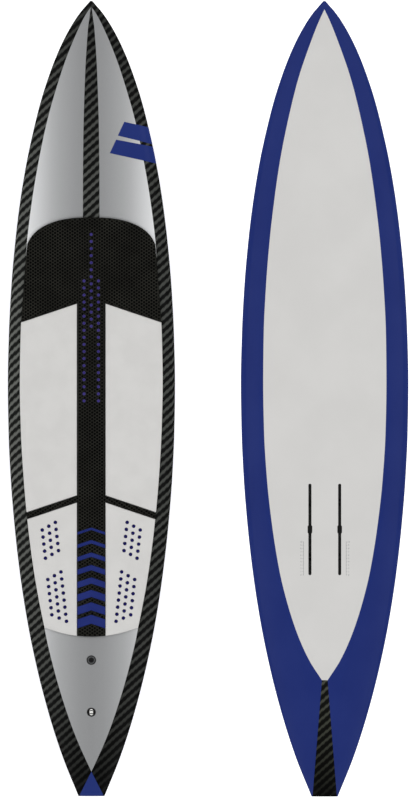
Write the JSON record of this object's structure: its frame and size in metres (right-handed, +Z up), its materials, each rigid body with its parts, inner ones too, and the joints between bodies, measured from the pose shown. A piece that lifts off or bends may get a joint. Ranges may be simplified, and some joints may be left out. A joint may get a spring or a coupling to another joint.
{
  "type": "foil board",
  "caption": "Long downwind foil board with twin T-slot mast tracks in the hull, foam grip pads on the deck, a screw-in air vent and a leash plug at the tail.",
  "frame": {"origin": "centre of the bounding box's bottom face: mid length, mid width, on the flat of the hull", "axes": "+Z up through the deck, -Y towards the nose, +X towards the rider's left when the rider faces the nose"},
  "size_m": [0.508, 2.413, 0.161],
  "materials": {
    "hull_blue": "glossy hull finish",
    "hull_panel": "glossy light grey hull finish",
    "carbon": "clear-coated carbon twill",
    "deck_silver": "glossy silver deck finish",
    "tail_blue": "glossy deck finish",
    "foam_black": "embossed grip foam",
    "foam_grey": "smooth grip foam",
    "foam_blue": "smooth inlaid grip foam",
    "core_foam": "cut bead foam",
    "hard_foam": "dense cut foam",
    "plug_black": "moulded plastic",
    "vent_grey": "moulded plastic",
    "plug_liner": "moulded plastic",
    "pin_steel": "stainless rod",
    "nut_steel": "black oxide",
    "seal_rubber": "soft seal ring",
    "filter_white": "woven membrane"
  },
  "bodies": {
    "board": {"foam_core": "core_foam", "mast_block": "hard_foam", "leash_block": "hard_foam", "standing_area_sheet": "hard_foam", "track_panel": "hull_blue", "hull_skin_front": "hull_blue", "hull_skin_rear": "hull_blue", "hull_skin_left": "hull_blue", "hull_skin_right": "hull_blue", "hull_inlay": "hull_panel", "hull_tail_strip": "carbon", "deck_skin": "carbon", "deck_inlay": "deck_silver", "nose_strip": "carbon", "tail_patch": "tail_blue", "middle_grip_pad": "foam_black", "middle_grip_islands": "foam_black", "middle_grip_chevrons": "foam_blue", "middle_grip_dots": "foam_blue", "front_foot_pad_left": "foam_grey", "front_foot_pad_right": "foam_grey", "rear_foot_pad_left": "foam_grey", "rear_foot_pad_right": "foam_grey", "rear_pad_dots_left": "foam_blue", "rear_pad_dots_right": "foam_blue", "foil_track_left": "plug_black", "foil_track_right": "plug_black", "vent_housing": "vent_grey", "vent_filter": "filter_white", "vent_filter_ring": "plug_black", "leash_cup": "plug_black", "leash_cup_liner": "plug_liner", "leash_pins": "pin_steel"},
    "track_nut_front_left": {"track_nut_front_left": "nut_steel"},
    "track_nut_front_right": {"track_nut_front_right": "nut_steel"},
    "track_nut_rear_left": {"track_nut_rear_left": "nut_steel"},
    "track_nut_rear_right": {"track_nut_rear_right": "nut_steel"},
    "vent_seal": {"vent_seal": "seal_rubber"},
    "vent_screw": {"vent_screw": "vent_grey"}
  },
  "joints": [
    {"name": "track_nut_front_left_slide", "type": "slide", "parent": "board", "child": "track_nut_front_left", "axis": [0, 1, 0], "range_m": [-0.04, 0.07]},
    {"name": "track_nut_front_right_slide", "type": "slide", "parent": "board", "child": "track_nut_front_right", "axis": [0, 1, 0], "range_m": [-0.04, 0.07]},
    {"name": "track_nut_rear_left_slide", "type": "slide", "parent": "board", "child": "track_nut_rear_left", "axis": [0, 1, 0], "range_m": [-0.07, 0.04]},
    {"name": "track_nut_rear_right_slide", "type": "slide", "parent": "board", "child": "track_nut_rear_right", "axis": [0, 1, 0], "range_m": [-0.07, 0.04]},
    {"name": "vent_lift", "type": "slide", "parent": "board", "child": "vent_seal", "axis": [0, 0.0817, 0.9967], "range_m": [0, 0.006]},
    {"name": "vent_turn", "type": "hinge", "parent": "vent_seal", "child": "vent_screw", "pos_m": [0, 0.79243, 0.12067], "axis": [0, 0.0817, 0.9967], "range_deg": [0, 1441]}
  ],
  "couplings": [
    {"joint": "vent_turn", "follows": "vent_lift", "rad_per_m": 4188.8}
  ]
}
